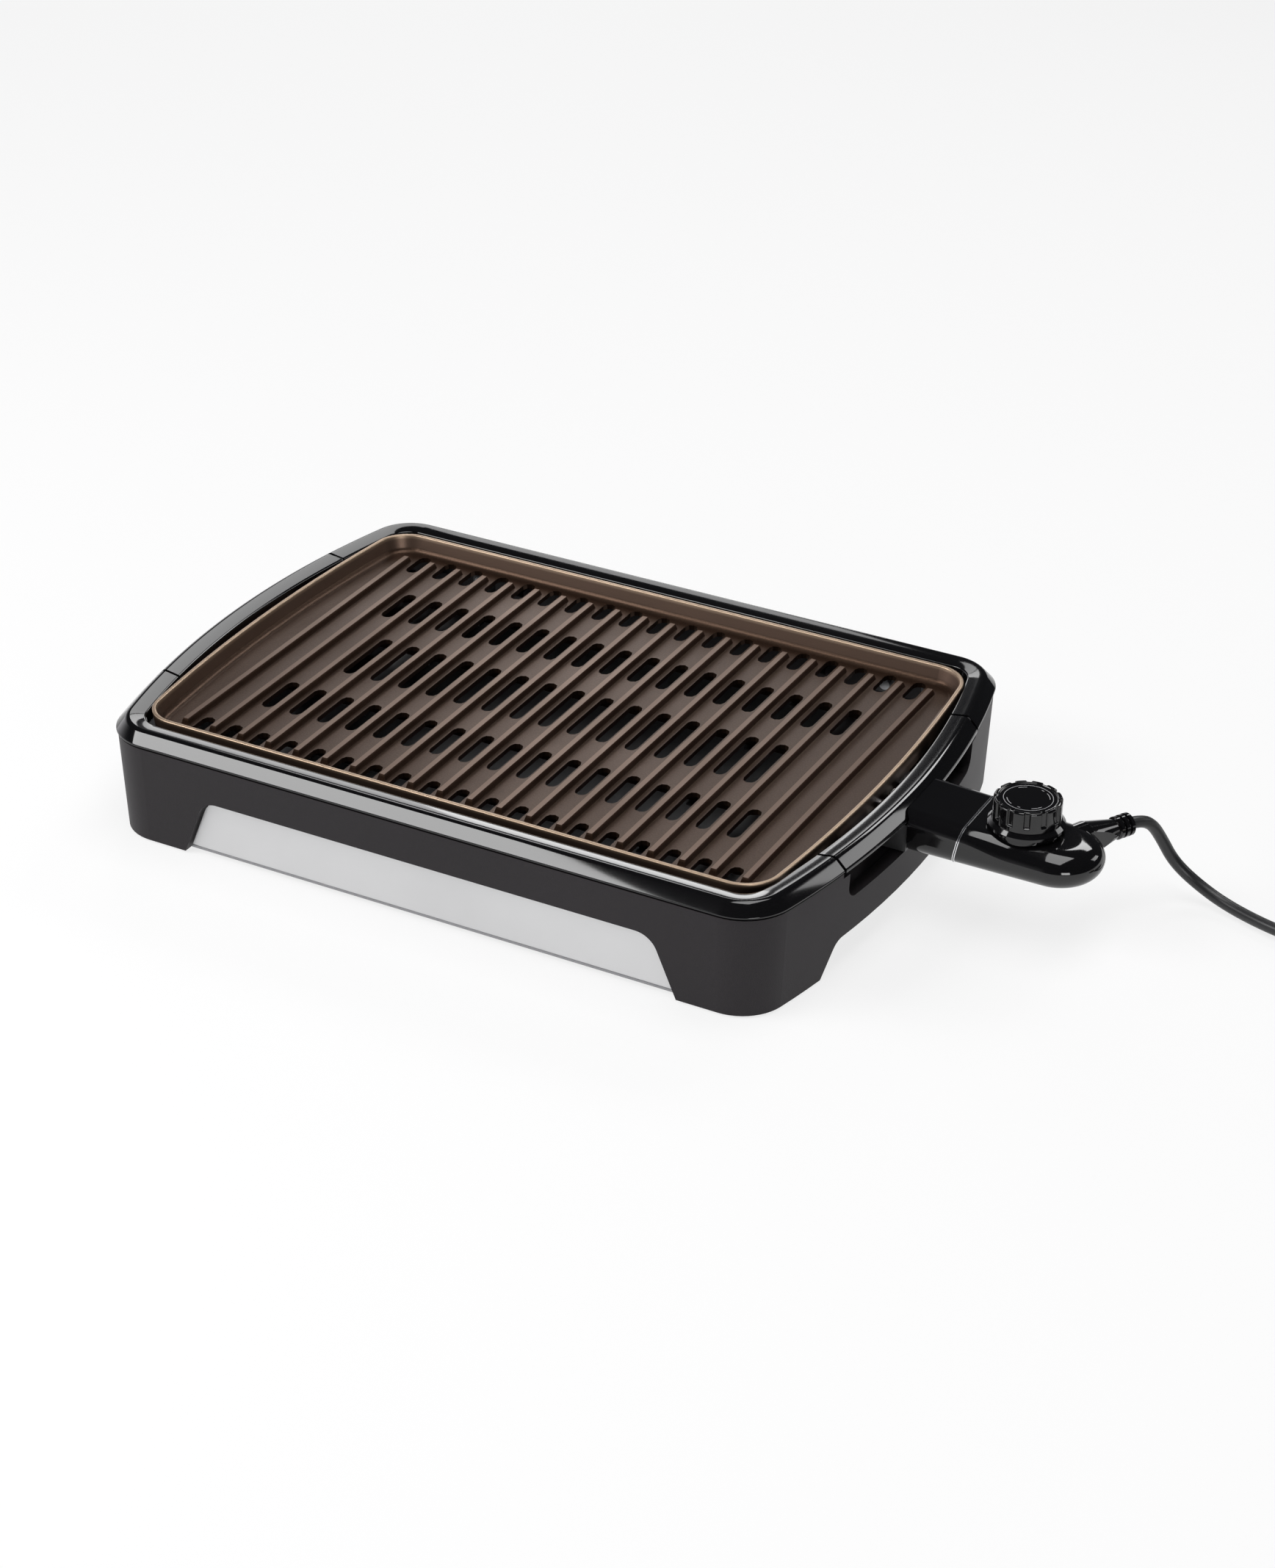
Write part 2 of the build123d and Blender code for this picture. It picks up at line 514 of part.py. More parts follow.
nose_face = profile(
    [(nose_x, 0), (ring_at(0), 0), (ring_at(2 * ctl_top), 2 * ctl_top),
     (nose_x - (ctl_top + 0.6 - bend_z) * fall, 2 * ctl_top),
     (nose_x - (ctl_top + 0.6 - bend_z) * fall, ctl_top + 0.6), (nose_x, bend_z)],
)
nose = bar & extrude(Plane.XZ * nose_face, far, both=True)
for _, y, z in pins:
    nose -= rod((nose_x, y, z), (1, 0, 0), tube_x[1] - nose_x, tube_d)
nodes["control_nose"] = nose - rod((nose_x, 0, element_z), (1, 0, 0), sensor_x[1] - nose_x, sensor_d)
nodes["contact_tubes"] = group(
    rod((tube_x[0], y, z), (1, 0, 0), tube_x[1] - tube_x[0], tube_d)
    - rod((0, y, z), (1, 0, 0), far, pin_d + 2 * clear)
    for _, y, z in pins
)
sensor_long = sensor_x[1] - sensor_x[0]
nodes["sensor_rod"] = rod((sensor_x[0], 0, element_z), (1, 0, 0), sensor_long, sensor_d)
heater_z = (ctl_low + ctl_wall, spindle_z[0] - clear)
nodes["thermostat_block"] = block(heater_x, (-heater_half, heater_half), heater_z)

# Knob: fluted cap with a dished top on a plain skirt, both on the spindle.
knob_at = Pos(knob_x, 0)
skirt = prism(knob_at * Circle(skirt_d / 2), *skirt_z)
skirt = chamfer(skirt.faces().sort_by(Axis.Z)[-1].edges(), skirt_slope)
cap = prism(knob_at * Circle(cap_d / 2), skirt_z[1], cap_top)
cap = chamfer(cap.faces().sort_by(Axis.Z)[-1].edges(), 1.3)
flute_z = 2 * (cap_top - skirt_z[1] - 2.5)
for k in range(flute_count):
    flute = Pos(cap_d / 2, 0, cap_top) * Box(2 * flute_deep, flute_w, flute_z)
    cap -= Pos(knob_x, 0, 0) * Rot(0, 0, flute_turn + k * 360 / flute_count) * flute
cap -= prism(knob_at * Circle(dish_r), cap_top - dish_deep, cap_top)
hollow = Circle(cap_d / 2 - cap_wall) - Circle(hub_r)
cap -= prism(knob_at * hollow, skirt_z[1], cap_top - cap_roof)
spindle = prism(knob_at * Circle(spindle_d / 2), *spindle_z)
nodes["knob_cap"], nodes["knob_skirt"] = cap - spindle, skirt - spindle
nodes["knob_spindle"] = spindle


# Lead: straight runs joined by tangent arcs, then one wound tube of two layers.
def heading_step(yaw, fall, length):
    flat = length * math.cos(math.radians(fall))
    turn = math.radians(yaw)
    return Vector(flat * math.cos(turn), flat * math.sin(turn), -length * math.sin(math.radians(fall)))


points = [Vector(*boot_end)]
for yaw, fall, length in lead_runs:
    points.append(points[-1] + heading_step(yaw, fall, length))
points[-1] = Vector(points[-1].X, points[-1].Y, table_z)
landing = points[-1] + heading_step(-22, 0, 34)
points.append(Vector(landing.X, landing.Y, coil_z))
points.append(points[-1] + heading_step(coil_heading, 0, 30))
radii = []
for before, here, after in zip(points, points[1:], points[2:]):
    half_turn = math.radians((here - before).get_angle(after - here)) / 2
    radii.append(0.45 * min((here - before).length, (after - here).length) / math.tan(half_turn))
lead_path = FilletPolyline(*points, radius=radii)


def tube(path):
    return sweep(Plane(origin=path @ 0, z_dir=path % 0) * Circle(lead_d / 2), path=path)


coil_way = heading_step(coil_heading, 0, 1)
coil_side = Vector(-coil_way.Y, coil_way.X, 0)
coil_start = points[-1] + coil_way * lead_d
coil_middle = coil_start + coil_side * coil_out


def coil_radius(turn):
    return coil_out - coil_pitch * min(turn, coil_turns - turn)


def coil_point(turn):
    climb = min(max((turn - coil_turns / 2 + 0.25) / 0.5, 0), 1)
    spin = 2 * math.pi * turn
    out = coil_side * -math.cos(spin) + coil_way * math.sin(spin)
    lift = coil_layer * (0.5 - 0.5 * math.cos(math.pi * climb))
    return coil_middle + out * coil_radius(turn) + Vector(0, 0, lift)


def biarc(p0, t0, p1, t1):
    gap = p1 - p0
    a, b = 2 * (1 - t0.dot(t1)), 2 * gap.dot(t0 + t1)
    reach = gap.length**2 / b if a < 1e-9 else (math.sqrt(b * b + 4 * a * gap.length**2) - b) / (2 * a)
    q0, q1 = p0 + t0 * reach, p1 - t1 * reach
    middle = (q0 + q1) * 0.5
    return [TangentArc(p0, middle, tangent=t0), TangentArc(middle, p1, tangent=q1 - q0)]


steps = [k / 4 for k in range(int(coil_turns * 4) + 1)]
knots = [coil_point(s) for s in steps]
ways = [(coil_point(s + 0.01) - coil_point(s - 0.01)).normalized() for s in steps]
ways[0], ways[-1] = coil_way, coil_way
coil_edges = [Line(points[-1], coil_start)]
for k in range(len(steps) - 1):
    coil_edges += biarc(knots[k], ways[k], knots[k + 1], ways[k + 1])
coil_end = knots[-1] + coil_way * lead_d
coil_edges.append(Line(knots[-1], coil_end))
coil_path = Wire([edge.edge() for edge in coil_edges])
nodes["cord"], nodes["cord_coil"] = tube(lead_path), tube(coil_path)

bundle = [coil_radius(turn + tie_turn) for turn in range(int(coil_turns))]
tie_room = lead_d / 2 + tie_gap
tie_in, tie_out = min(bundle) - tie_room - tie_gap, max(bundle) + tie_room + tie_gap
tie_low, tie_high = coil_z - tie_room, coil_z + coil_layer + tie_room
spin = 2 * math.pi * tie_turn
tie_out_way = coil_side * -math.cos(spin) + coil_way * math.sin(spin)
tie_across = tie_out_way.cross(Vector(0, 0, 1))
tie_plane = Plane(origin=coil_middle - Vector(0, 0, coil_z), x_dir=tie_out_way, z_dir=tie_across)
tie_size = (tie_out - tie_in, tie_high - tie_low)
tie_face = Rectangle(tie_size[0] + 2 * tie_t, tie_size[1] + 2 * tie_t) - Rectangle(*tie_size)
tie_face = Pos((tie_in + tie_out) / 2, (tie_low + tie_high) / 2) * tie_face
nodes["cord_tie"] = extrude(tie_plane * tie_face, tie_w / 2, both=True)

# Plug: three flat pins, lying on its back beside the coil, with a tapered neck.
plug_plane = Plane(origin=coil_end, x_dir=coil_way, z_dir=(0, 0, 1))
neck = extrude(Plane.YZ * Circle(3.8), plug_neck + 2, taper=-3.6)
side_line = [(plug_neck, plug_root), (plug_neck + 12, plug_half), (plug_neck + plug_long, plug_half)]
plan = profile([(x, -y) for x, y in side_line] + side_line[::-1])
plug_drop = coil_end.Z - clear
body = prism(fillet(plan.vertices(), 5), -plug_drop, plug_high - plug_drop)
body = fillet(body.faces().sort_by(Axis.Z)[-1].edges(), 2.0)
pin_root, pin_set = plug_high - plug_drop, 3.0
prongs = [
    Pos(x, y, pin_root) * block((-thick / 2, thick / 2), (-wide / 2, wide / 2), (-pin_set, tall))
    for x, y, thick, wide, tall in blades
]
nodes["plug_body"] = plug_plane * (body + neck - prongs)
nodes["plug_pins"] = plug_plane * group(prongs)

for name, shape in nodes.items():
    export_step(Pos(-frame_x, 0, 0) * shape, f"parts/{name}.step")

section = math.pi * lead_d**2 / 4
print("frame moved by", frame_x, "nodes", len(nodes))
print("lead bends", [round(r, 1) for r in radii])
for name, path in (("cord", lead_path), ("cord_coil", coil_path)):
    volumes = round(nodes[name].volume), round(section * path.length)
    print(name, "length", round(path.length, 1), "volume and section times length", *volumes)
trail = [edge.edge() @ (k / 12) for edge in coil_edges for k in range(12)]
walk = [0.0]
for a, b in zip(trail, trail[1:]):
    walk.append(walk[-1] + (b - a).length)
near = min(
    (trail[i] - trail[j]).length
    for i in range(len(trail)) for j in range(i) if walk[i] - walk[j] > 6 * lead_d
)
print("coil least gap to itself", round(near - lead_d, 2))
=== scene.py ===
import bpy, bmesh, json
import numpy as np
from mathutils import Matrix


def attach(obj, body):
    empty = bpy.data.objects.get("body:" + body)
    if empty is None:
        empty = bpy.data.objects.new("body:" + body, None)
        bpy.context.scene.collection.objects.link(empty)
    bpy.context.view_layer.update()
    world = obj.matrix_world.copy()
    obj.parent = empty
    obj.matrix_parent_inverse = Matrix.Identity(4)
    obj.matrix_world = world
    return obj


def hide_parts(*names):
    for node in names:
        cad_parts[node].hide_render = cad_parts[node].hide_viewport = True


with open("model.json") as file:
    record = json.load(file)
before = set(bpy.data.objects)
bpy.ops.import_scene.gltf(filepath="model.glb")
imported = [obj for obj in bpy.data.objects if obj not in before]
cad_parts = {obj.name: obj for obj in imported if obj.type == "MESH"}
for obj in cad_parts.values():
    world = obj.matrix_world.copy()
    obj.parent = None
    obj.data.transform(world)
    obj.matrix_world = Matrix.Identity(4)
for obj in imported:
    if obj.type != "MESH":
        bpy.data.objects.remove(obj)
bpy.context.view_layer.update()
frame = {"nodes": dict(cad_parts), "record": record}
nodes = frame["nodes"]
mm = 0.001
mergeReach = 1e-7  # metres between points that count as one
shiftX = 52.75  # mm from the middle of the base to the frame's origin
flipX, flipY = np.array([-1.0, 1.0, 1.0]), np.array([1.0, -1.0, 1.0])  # mirror about the middle
print("frame loaded,", len(nodes), "nodes")


def place(points):
    # millimetres around the middle of the base -> metres in the frame
    points = np.asarray(points, float)
    return (points - np.array([shiftX, 0.0, 0.0])) * mm


def addMesh(name, verts, faces, smoothAngle=50.0):
    # merged, faces outwards, smooth but for edges sharper than the angle
    mesh = bpy.data.meshes.new(name)
    mesh.from_pydata(np.asarray(verts).reshape(-1, 3).tolist(), [], faces)
    bm = bmesh.new()
    bm.from_mesh(mesh)
    bmesh.ops.remove_doubles(bm, verts=bm.verts, dist=mergeReach)
    bmesh.ops.recalc_face_normals(bm, faces=bm.faces)
    bm.to_mesh(mesh)
    bm.free()
    mesh.polygons.foreach_set("use_smooth", np.ones(len(mesh.polygons), dtype=bool))
    mesh.set_sharp_from_angle(angle=np.radians(smoothAngle))
    obj = bpy.data.objects.new(name, mesh)
    bpy.context.scene.collection.objects.link(obj)
    return obj


def gridFaces(rows, cols, wrapRows=False, wrapCols=True, caps=False, start=0):
    # quads between neighbouring rows and columns of a grid; caps close the first and last row
    r = np.arange(rows if wrapRows else rows - 1)
    c = np.arange(cols if wrapCols else cols - 1)
    r0, c0 = np.meshgrid(r, c, indexing="ij")
    r1, c1 = (r0 + 1) % rows, (c0 + 1) % cols
    corners = [r0 * cols + c0, r0 * cols + c1, r1 * cols + c1, r1 * cols + c0]
    faces = (np.stack(corners, -1).reshape(-1, 4) + start).tolist()
    if caps:
        faces.append((np.arange(cols)[::-1] + start).tolist())
        faces.append((np.arange(cols) + (rows - 1) * cols + start).tolist())
    return faces


def softCorners(points, reach, steps=5):
    # each corner of a closed outline becomes a parabola that starts and ends a given reach from it
    mostReach = 0.45  # of the shorter edge beside the corner
    p = np.asarray(points, float)
    before, after = np.roll(p, 1, 0) - p, np.roll(p, -1, 0) - p
    lb, la = np.linalg.norm(before, axis=1), np.linalg.norm(after, axis=1)
    d = np.minimum(np.asarray(reach, float), mostReach * np.minimum(lb, la))[:, None]
    a, b = p + before / lb[:, None] * d, p + after / la[:, None] * d
    t = np.linspace(0, 1, steps)[None, :, None]
    curve = (1 - t) ** 2 * a[:, None] + 2 * t * (1 - t) * p[:, None] + t**2 * b[:, None]
    return curve.reshape(-1, 2)


def ease(share):
    # 0 to 1 with a level start and end: three times the square less twice the cube
    share = np.clip(share, 0, 1)
    return share * share * (3 - 2 * share)


# Camera at the photograph's angle
cameraSpec = {
    "place": (0.791377, -1.491814, 1.001550),
    "right": (0.88058506, 0.47381741, 0.00818584),
    "down": (0.24345818, -0.43750975, -0.86562887),
    "ahead": (-0.40656865, 0.76425276, -0.50061928),
    "focalPixels": 4566.234, "imageHigh": 2135, "sensorHigh": 36.0, "clip": (0.05, 200.0),
}
cameraData = bpy.data.cameras.new("camera")
cameraData.sensor_fit = "VERTICAL"
cameraData.sensor_height = cameraSpec["sensorHigh"]
cameraData.lens = cameraSpec["focalPixels"] / cameraSpec["imageHigh"] * cameraSpec["sensorHigh"]
cameraData.clip_start, cameraData.clip_end = cameraSpec["clip"]
camera = bpy.data.objects.new("camera", cameraData)
right, down, ahead = (np.array(cameraSpec[k]) for k in ("right", "down", "ahead"))
turn = Matrix(np.column_stack([right, -down, -ahead]).tolist()).to_4x4()
camera.matrix_world = Matrix.Translation(cameraSpec["place"]) @ turn
bpy.context.scene.collection.objects.link(camera)
bpy.context.scene.camera = camera
bpy.context.scene.view_settings.view_transform = "Standard"
print("camera set, lens", round(cameraData.lens, 2))


# Shared effects
def newGroup(name, inputs, outputs):
    # empty node group with named sockets
    group = bpy.data.node_groups.new(name, "ShaderNodeTree")
    for label, kind, value in inputs:
        socket = group.interface.new_socket(label, in_out="INPUT", socket_type=kind)
        socket.default_value = value
    for label, kind in outputs:
        group.interface.new_socket(label, in_out="OUTPUT", socket_type=kind)
    start, end = group.nodes.new("NodeGroupInput"), group.nodes.new("NodeGroupOutput")
    return group, group.nodes, group.links, start, end


def makeSpeckle():
    # fine grain on Object coordinates: a coarse cloud and a fine grain, each from 0 to 1
    group, n, link, start, end = newGroup(
        "speckle",
        [("Cloud Size", "NodeSocketFloat", 8.0), ("Grain Size", "NodeSocketFloat", 900.0)],
        [("Cloud", "NodeSocketFloat"), ("Grain", "NodeSocketFloat")],
    )
    where = n.new("ShaderNodeTexCoord")
    noiseLow, noiseHigh = 0.3, 0.7  # where most of the noise lies
    for label, detail, out in (("Cloud Size", 3.0, "Cloud"), ("Grain Size", 2.0, "Grain")):
        noise = n.new("ShaderNodeTexNoise")
        noise.inputs["Detail"].default_value = detail
        link.new(where.outputs["Object"], noise.inputs["Vector"])
        link.new(start.outputs[label], noise.inputs["Scale"])
        spread = n.new("ShaderNodeMapRange")
        spread.inputs["From Min"].default_value = noiseLow
        spread.inputs["From Max"].default_value = noiseHigh
        link.new(noise.outputs["Fac"], spread.inputs["Value"])
        link.new(spread.outputs["Result"], end.inputs[out])
    return group


def makePaintedLightMask():
    # mask that rises from 0 to 1 between two heights of the piece, for bands of painted highlight and
    # painted shade
    group, n, link, start, end = newGroup(
        "paintedLightMask",
        [("Low", "NodeSocketFloat", 0.0), ("High", "NodeSocketFloat", 0.1)],
        [("Mask", "NodeSocketFloat")],
    )
    where, split = n.new("ShaderNodeTexCoord"), n.new("ShaderNodeSeparateXYZ")
    spread = n.new("ShaderNodeMapRange")
    link.new(where.outputs["Object"], split.inputs["Vector"])
    link.new(split.outputs["Z"], spread.inputs["Value"])
    link.new(start.outputs["Low"], spread.inputs["From Min"])
    link.new(start.outputs["High"], spread.inputs["From Max"])
    link.new(spread.outputs["Result"], end.inputs["Mask"])
    return group


speckle, paintedLightMask = makeSpeckle(), makePaintedLightMask()
plainFinish = {  # what a finish has unless its own lines say otherwise
    "cloudSize": 8.0, "grainSize": 900.0, "colourBy": "Cloud", "paintedLightBands": (),
    "bump": 0.05, "bumpDeep": 0.0001, "metal": 0.0, "ior": 1.5, "specular": 0.5,
}


def finish(ownSpec):
    # Principled surface whose colour and roughness drift with the speckle, with bands of painted highlight
    # and painted shade laid over the colour by height, and a fine bump
    spec = {**plainFinish, **ownSpec}
    mat = bpy.data.materials.new(spec["label"])
    mat.use_nodes = True
    n, link = mat.node_tree.nodes, mat.node_tree.links
    shader = n["Principled BSDF"]
    grain = n.new("ShaderNodeGroup")
    grain.node_tree = speckle
    grain.inputs["Cloud Size"].default_value = spec["cloudSize"]
    grain.inputs["Grain Size"].default_value = spec["grainSize"]
    colour = n.new("ShaderNodeMix")
    colour.data_type = "RGBA"
    colour.inputs["A"].default_value = (*spec["dark"], 1)
    colour.inputs["B"].default_value = (*spec["light"], 1)
    link.new(grain.outputs[spec["colourBy"]], colour.inputs["Factor"])
    last = colour.outputs["Result"]
    for low, high, paintedTint in spec["paintedLightBands"]:  # each band lays painted light over the colour, a highlight when lighter and a shade when darker; low above high turns a band upside down
        band = n.new("ShaderNodeGroup")
        band.node_tree = paintedLightMask
        band.inputs["Low"].default_value, band.inputs["High"].default_value = low, high
        over = n.new("ShaderNodeMix")
        over.data_type = "RGBA"
        over.inputs["B"].default_value = (*paintedTint, 1)
        link.new(band.outputs["Mask"], over.inputs["Factor"])
        link.new(last, over.inputs["A"])
        last = over.outputs["Result"]
    link.new(last, shader.inputs["Base Color"])
    rough = n.new("ShaderNodeMapRange")
    rough.inputs["To Min"].default_value, rough.inputs["To Max"].default_value = spec["rough"]
    link.new(grain.outputs["Cloud"], rough.inputs["Value"])
    link.new(rough.outputs["Result"], shader.inputs["Roughness"])
    bump = n.new("ShaderNodeBump")
    bump.inputs["Strength"].default_value = spec["bump"]
    bump.inputs["Distance"].default_value = spec["bumpDeep"]
    link.new(grain.outputs["Grain"], bump.inputs["Height"])
    link.new(bump.outputs["Normal"], shader.inputs["Normal"])
    shader.inputs["Metallic"].default_value = spec["metal"]
    shader.inputs["IOR"].default_value = spec["ior"]
    shader.inputs["Specular IOR Level"].default_value = spec["specular"]
    return mat


finishSpecs = {
    "gloss_black": {
        "label": "glossBlack", "dark": (0.0022, 0.0021, 0.0024), "light": (0.0042, 0.0040, 0.0045),
        "rough": (0.045, 0.075), "bump": 0.012, "grainSize": 90.0, "ior": 1.55,
    },
    "charcoal_base": {
        "label": "charcoalMoulding", "dark": (0.0146, 0.0122, 0.0140), "light": (0.0218, 0.0185, 0.0211),
        "rough": (0.46, 0.56), "bump": 0.35, "grainSize": 1800.0, "specular": 0.26,
    },
    "bronze_plate": {
        "label": "bronzeCoat", "dark": (0.047, 0.0262, 0.0166), "light": (0.071, 0.0405, 0.0256),
        "rough": (0.34, 0.42), "metal": 0.8, "bump": 0.18, "grainSize": 1100.0, "cloudSize": 14.0,
        "colourBy": "Grain",
        # lighter bands on the rib tops and on the lip: painted highlight
        "paintedLightBands": [(0.0630, 0.0644, (0.150, 0.098, 0.072)), (0.0690, 0.0709, (0.42, 0.31, 0.22))],
    },
    "silver_tray": {
        "label": "silverSatin", "dark": (0.64, 0.64, 0.645), "light": (0.71, 0.71, 0.715),
        "rough": (0.32, 0.40), "metal": 0.75, "bump": 0.05, "grainSize": 2600.0,
        # darker band along the bottom hem: painted shade
        "paintedLightBands": [(0.0046, 0.0042, (0.30, 0.30, 0.31))],
    },
    "plain_sheet": {
        # inner sheet parts coloured dark: painted shade inside the grill, seen through the slots
        "label": "sheetPaintedShade", "dark": (0.060, 0.060, 0.062), "light": (0.095, 0.095, 0.098),
        "rough": (0.36, 0.48), "metal": 0.6, "bump": 0.06, "grainSize": 1200.0,
    },
    "plated_steel": {
        "label": "platedSteel", "dark": (0.50, 0.50, 0.52), "light": (0.64, 0.64, 0.66),
        "rough": (0.24, 0.34), "metal": 1.0,
    },
    "bright_trim": {
        "label": "brightTrim", "dark": (0.80, 0.80, 0.82), "light": (0.88, 0.88, 0.90),
        "rough": (0.08, 0.14), "metal": 1.0, "bump": 0.01,
    },
    "element_sheath": {
        "label": "elementSheath", "dark": (0.16, 0.15, 0.14), "light": (0.26, 0.24, 0.22),
        "rough": (0.38, 0.52), "metal": 0.8,
    },
    "contact_brass": {
        "label": "contactBrass", "dark": (0.64, 0.50, 0.24), "light": (0.76, 0.62, 0.34),
        "rough": (0.22, 0.34), "metal": 1.0,
    },
    "rubber_pads": {
        "label": "padRubber", "dark": (0.016, 0.016, 0.016), "light": (0.026, 0.026, 0.026),
        "rough": (0.70, 0.82), "bump": 0.25,
    },
    "ceramic": {
        "label": "ceramicWhite", "dark": (0.66, 0.63, 0.57), "light": (0.76, 0.73, 0.68),
        "rough": (0.55, 0.66),
    },
    "lamp_lens": {
        "label": "smokedLens", "dark": (0.07, 0.07, 0.075), "light": (0.12, 0.12, 0.125),
        "rough": (0.08, 0.14), "bump": 0.01,
    },
    "lead_rubber": {
        "label": "leadRubber", "dark": (0.012, 0.012, 0.013), "light": (0.022, 0.022, 0.023),
        "rough": (0.34, 0.44), "bump": 0.06, "grainSize": 700.0,
    },
    "dial_print": {
        "label": "dialPrint", "dark": (0.27, 0.27, 0.28), "light": (0.35, 0.35, 0.36),
        "rough": (0.42, 0.52), "bump": 0.02,
    },
}
finishes = {slot: finish(spec) for slot, spec in finishSpecs.items()}
# the ring's black middle is painted shade of the seam groove between its two bright edges
ringSpec = {
    "label": "trimPaintedGroove", "lean": 0.2, "edges": (0.19665, 0.19815), "grooveShade": (0.17, 0.25),
    "bright": (0.84, 0.84, 0.86), "dark": (0.004, 0.004, 0.005), "rough": 0.12,
}


def trimPaintedGroove(spec):
    # bright trim with a black stripe of painted shade along the middle of the leaning ring, where the
    # seam's groove is, measured across its width
    mat = bpy.data.materials.new(spec["label"])
    mat.use_nodes = True
    n, link = mat.node_tree.nodes, mat.node_tree.links
    shader, where = n["Principled BSDF"], n.new("ShaderNodeTexCoord")
    kinds = ("VectorMath", "MapRange", "Math", "Math", "MapRange")
    across, share, middle, side, edge = (n.new("ShaderNode" + kind) for kind in kinds)
    across.operation, middle.operation, side.operation = "DOT_PRODUCT", "SUBTRACT", "ABSOLUTE"
    across.inputs[1].default_value = (1.0, 0.0, -spec["lean"])
    middle.inputs[1].default_value = 0.5
    share.inputs["From Min"].default_value, share.inputs["From Max"].default_value = spec["edges"]
    edge.inputs["From Min"].default_value, edge.inputs["From Max"].default_value = spec["grooveShade"]
    link.new(where.outputs["Object"], across.inputs[0])
    link.new(across.outputs["Value"], share.inputs["Value"])
    link.new(share.outputs["Result"], middle.inputs[0])
    link.new(middle.outputs[0], side.inputs[0])
    link.new(side.outputs[0], edge.inputs["Value"])
    colour = n.new("ShaderNodeMix")
    colour.data_type = "RGBA"
    colour.inputs["A"].default_value = (*spec["dark"], 1)
    colour.inputs["B"].default_value = (*spec["bright"], 1)
    link.new(edge.outputs["Result"], colour.inputs["Factor"])
    link.new(colour.outputs["Result"], shader.inputs["Base Color"])
    link.new(edge.outputs["Result"], shader.inputs["Metallic"])
    shader.inputs["Roughness"].default_value = spec["rough"]
    return mat


slotOf = {entry["node"]: entry["material_slot"] for entry in frame["record"]["subparts"]}
for name, obj in nodes.items():
    obj.data.materials.clear()
    obj.data.materials.append(finishes[slotOf[name]])
nodes["cord_boot"].data.materials[0] = finishes["gloss_black"]
nodes["control_ring"].data.materials[0] = trimPaintedGroove(ringSpec)
print("finishes on", len(nodes), "nodes")


def dress(piece, body, slot, *stoodFor, finishAs=None):
    # finish and body for the piece, the finish picked by its record slot unless finishAs names another, and
    # the CAD nodes that it stands for, which are hidden
    piece.data.materials.append(finishes[finishAs or slot])
    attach(piece, body)
    if stoodFor:
        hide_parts(*stoodFor)


# Lead: one smooth line from the strain relief down to the table and into the tied coil
leadSpec = {
    "route": [
        (0.28070, 0.04880, 0.05400), (0.28457, 0.05578, 0.05344), (0.28925, 0.06327, 0.04875),
        (0.29380, 0.06869, 0.03784), (0.30042, 0.07315, 0.02283), (0.31305, 0.07538, 0.01168),
        (0.33393, 0.07245, 0.00360), (0.36545, 0.05971, 0.00460), (0.39516, 0.05554, 0.00460),
    ],
    "diameter": 0.007, "heading": -8.0, "coilOut": 0.0425, "coilPitch": 0.0077, "coilLayer": 0.0082,
    "turns": 4.0, "climbTurns": 0.5, "perTurn": 16, "length": 1.040, "around": 5, "along": 6,
}


def leadLine(spec):
    # route, then a flat spiral in, a half turn that climbs one layer, and the same spiral out again
    route = np.array(spec["route"])
    heading = np.radians(spec["heading"])
    onward = np.array([np.cos(heading), np.sin(heading), 0.0])
    side = np.array([-onward[1], onward[0], 0.0])
    start = route[-1] + onward * spec["diameter"]
    turnAt = np.linspace(0, spec["turns"], int(spec["turns"] * spec["perTurn"]) + 1)
    radius = spec["coilOut"] - spec["coilPitch"] * np.minimum(turnAt, spec["turns"] - turnAt)
    climbFrom = (spec["turns"] - spec["climbTurns"]) / 2
    climb = np.clip((turnAt - climbFrom) / spec["climbTurns"], 0, 1)
    lift = spec["coilLayer"] * (0.5 - 0.5 * np.cos(np.pi * climb))
    spin = 2 * np.pi * turnAt
    out = -np.cos(spin)[:, None] * side + np.sin(spin)[:, None] * onward
    turns = start + side * spec["coilOut"] + out * radius[:, None]
    turns[:, 2] += lift
    return np.vstack([route, turns, turns[-1] + onward * spec["diameter"]])


linePoints = leadLine(leadSpec)
leadCurve = bpy.data.curves.new("lead", "CURVE")
leadCurve.dimensions = "3D"
leadCurve.bevel_depth = leadSpec["diameter"] / 2
leadCurve.bevel_resolution, leadCurve.resolution_u = leadSpec["around"], leadSpec["along"]
leadCurve.use_fill_caps = True
spline = leadCurve.splines.new("NURBS")
spline.points.add(len(linePoints) - 1)
spline.points.foreach_set("co", np.column_stack([linePoints, np.ones(len(linePoints))]).ravel())
spline.order_u = 3
spline.use_endpoint_u = True
lead = bpy.data.objects.new("lead", leadCurve)
bpy.context.scene.collection.objects.link(lead)
dress(lead, "control", "lead_rubber", "cord", "cord_coil")
print("lead of", len(linePoints), "points")


